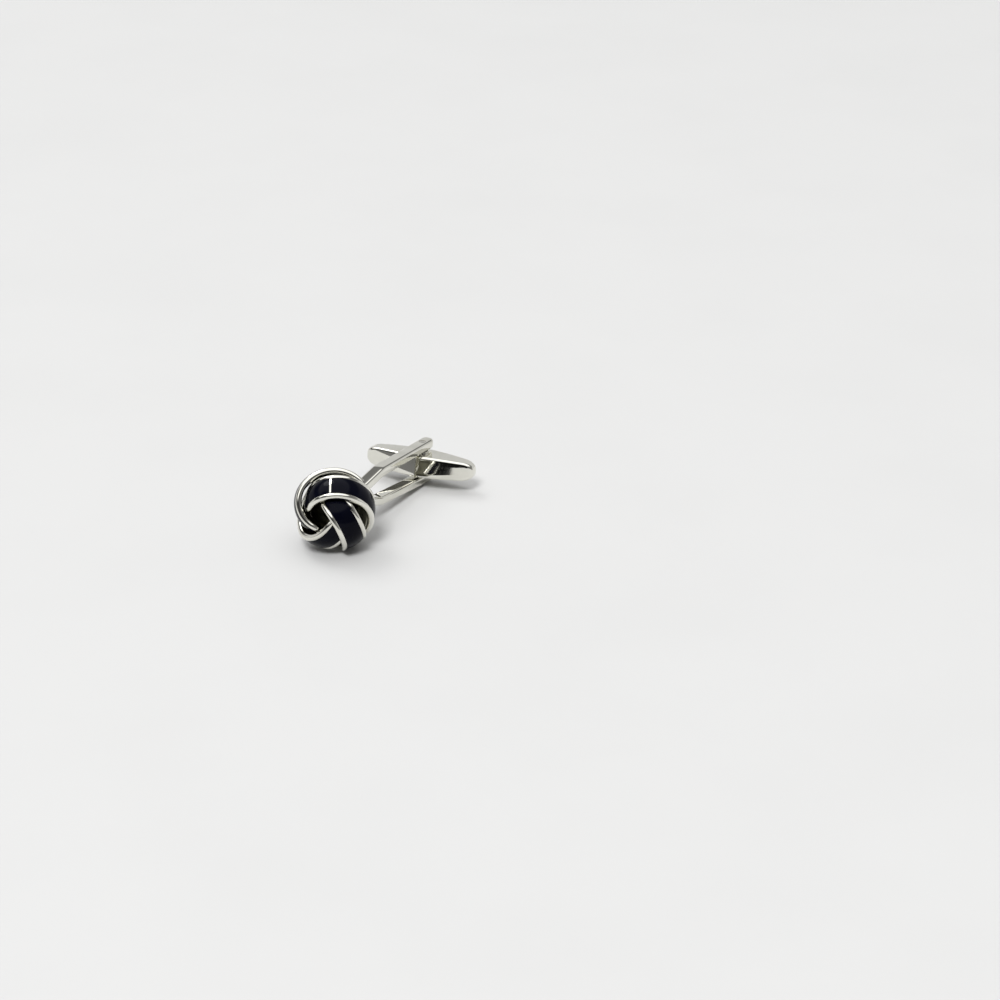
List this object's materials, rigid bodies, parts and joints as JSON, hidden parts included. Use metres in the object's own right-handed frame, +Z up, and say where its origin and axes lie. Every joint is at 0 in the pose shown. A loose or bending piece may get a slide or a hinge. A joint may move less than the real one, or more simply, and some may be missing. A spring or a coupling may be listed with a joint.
{
  "type": "cufflink",
  "caption": "Cufflink with a woven knot of enamelled silver straps on a forked post, and a lozenge toggle bar that swivels on a pin to lock behind the cuff.",
  "frame": {"origin": "on the floor under the middle of the box, with the link lying on its knot and the tip of the lower arm", "axes": "+Y from the knot to the toggle, +Z up, +X along the toggle bar"},
  "size_m": [0.017, 0.0318, 0.0119],
  "materials": {
    "silver": "mirror polished",
    "enamel": "glossy",
    "pin_steel": "turned",
    "spring_steel": "rolled"
  },
  "bodies": {
    "link": {"knot_strap_top": "silver", "knot_strap_right": "silver", "knot_strap_bottom": "silver", "knot_strap_left": "silver", "enamel_top_first": "enamel", "enamel_top_second": "enamel", "enamel_right": "enamel", "enamel_bottom": "enamel", "enamel_left": "enamel", "seam_bar": "silver", "back_cup": "silver", "fork": "silver", "pivot_pin": "pin_steel"},
    "toggle": {"toggle_bar": "silver", "detent_spring": "spring_steel"}
  },
  "joints": [
    {"name": "toggle_swivel", "type": "hinge", "parent": "link", "child": "toggle", "pos_m": [0, 0.01311, 0.00352], "axis": [0, 0.1034, 0.9946], "continuous": true, "deforming": ["detent_spring"]}
  ]
}
